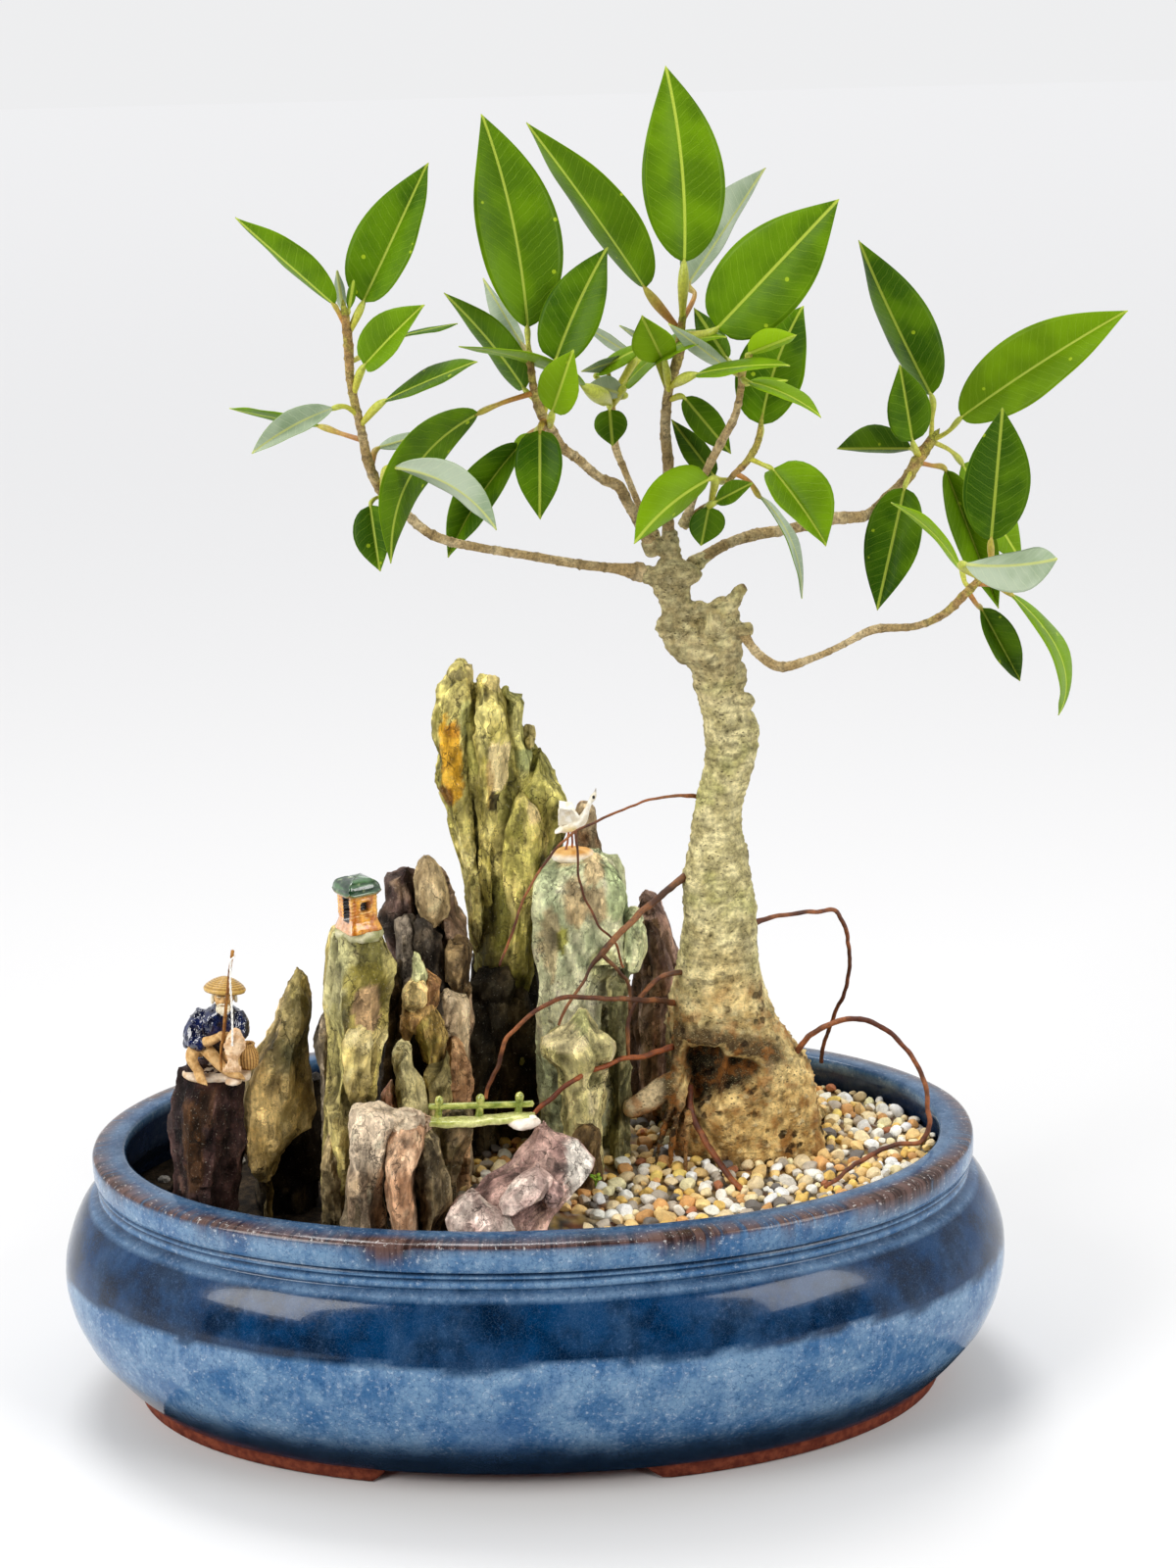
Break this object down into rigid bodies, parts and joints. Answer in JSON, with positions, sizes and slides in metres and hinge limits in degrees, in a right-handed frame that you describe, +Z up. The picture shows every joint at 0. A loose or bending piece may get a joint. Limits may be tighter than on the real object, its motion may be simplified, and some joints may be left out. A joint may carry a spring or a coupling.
{
  "type": "small-leaf fig bonsai",
  "caption": "Small-leaf fig bonsai with aerial roots in an oval blue-glazed pot, set with upright rocks, gravel and small clay figures of an angler, hut, crane and bridge",
  "frame": {"origin": "centre of the bounding box in X and Y, at the table plane under the pot's foot ring", "axes": "+Z up; +X to the right along the pot's long direction, towards the tree; +Y away from the viewing side"},
  "size_m": [0.4092, 0.236, 0.4981],
  "materials": {
    "pot_glaze": "mottled milky lavender-blue over deep blue glaze, iron-brown at the lip edge, fine crackle; unglazed red-brown foot",
    "soil_dark": "dark crumbly potting soil, rough",
    "pebbles": "matte mixed gravel in cream, tan, yellow-orange, white and grey",
    "bark": "pale olive-cream bark with green-yellow patches and dark raised pores, matte",
    "root_bark": "thin aerial roots, dark brown to reddish orange, satin",
    "leaf_green": "waxy glossy yellow-green to dark green leaf with a pale yellow midrib",
    "leaf_pale": "pale grey-green satin underside of a leaf",
    "rock_green": "craggy weathered stone, olive and grey-green with rust-yellow patches",
    "rock_purple_brown": "craggy purple-brown stone with tan broken faces",
    "clay_blue_glaze": "glossy dark blue glaze on the coat; bare tan clay on skin, straw hat in ochre",
    "clay_plain": "bare tan to peach clay and thin brown rod",
    "clay_amber_glaze": "glossy amber glazed walls with a green glazed roof",
    "clay_white_glaze": "glossy white glaze, copper wire legs",
    "clay_green_glaze": "pale yellow-green glaze"
  },
  "bodies": {
    "root": {"pot": "pot_glaze", "soil": "soil_dark", "trunk": "bark", "branch_left": "bark", "branch_upper_left": "bark", "branch_inner": "bark", "branch_centre": "bark", "branch_centre_right": "bark", "branch_right": "bark", "branch_lower_right": "bark", "shoot_left": "leaf_green", "shoot_upper_left": "leaf_green", "shoot_inner": "leaf_green", "shoot_centre": "leaf_green", "shoot_centre_right": "leaf_green", "shoot_right": "leaf_green", "shoot_lower_right": "leaf_green", "shoot_low": "leaf_green", "root_a": "root_bark", "root_b": "root_bark", "root_c": "root_bark", "root_d": "root_bark", "root_e": "root_bark", "root_front": "root_bark", "root_right": "root_bark", "root_rim": "root_bark", "leaf_a": "leaf_green", "leaf_b": "leaf_green", "leaf_h": "leaf_green", "leaf_l": "leaf_green", "leaf_n": "leaf_green", "leaf_t": "leaf_green", "leaf_u": "leaf_green", "leaf_m": "leaf_green", "leaf_x1": "leaf_green", "leaf_x2": "leaf_pale", "leaf_x3": "leaf_green", "leaf_x4": "leaf_green", "leaf_x16": "leaf_green", "leaf_y1": "leaf_green", "leaf_y2": "leaf_green", "leaf_y5": "leaf_green", "leaf_y8": "leaf_green", "figure_angler": "clay_blue_glaze", "rod_line_fish": "clay_plain", "hut": "clay_amber_glaze", "crane": "clay_white_glaze", "bridge": "clay_green_glaze", "rock_tall": "rock_green", "rock_crane": "rock_green", "rock_behind": "rock_purple_brown", "rock_purple": "rock_purple_brown", "rock_front": "rock_green", "rock_points": "rock_green", "rock_hut": "rock_green", "rock_lean": "rock_green", "rock_angler": "rock_purple_brown", "rock_block": "rock_purple_brown", "rock_slab": "rock_purple_brown", "gravel": "pebbles"}
  },
  "joints": []
}
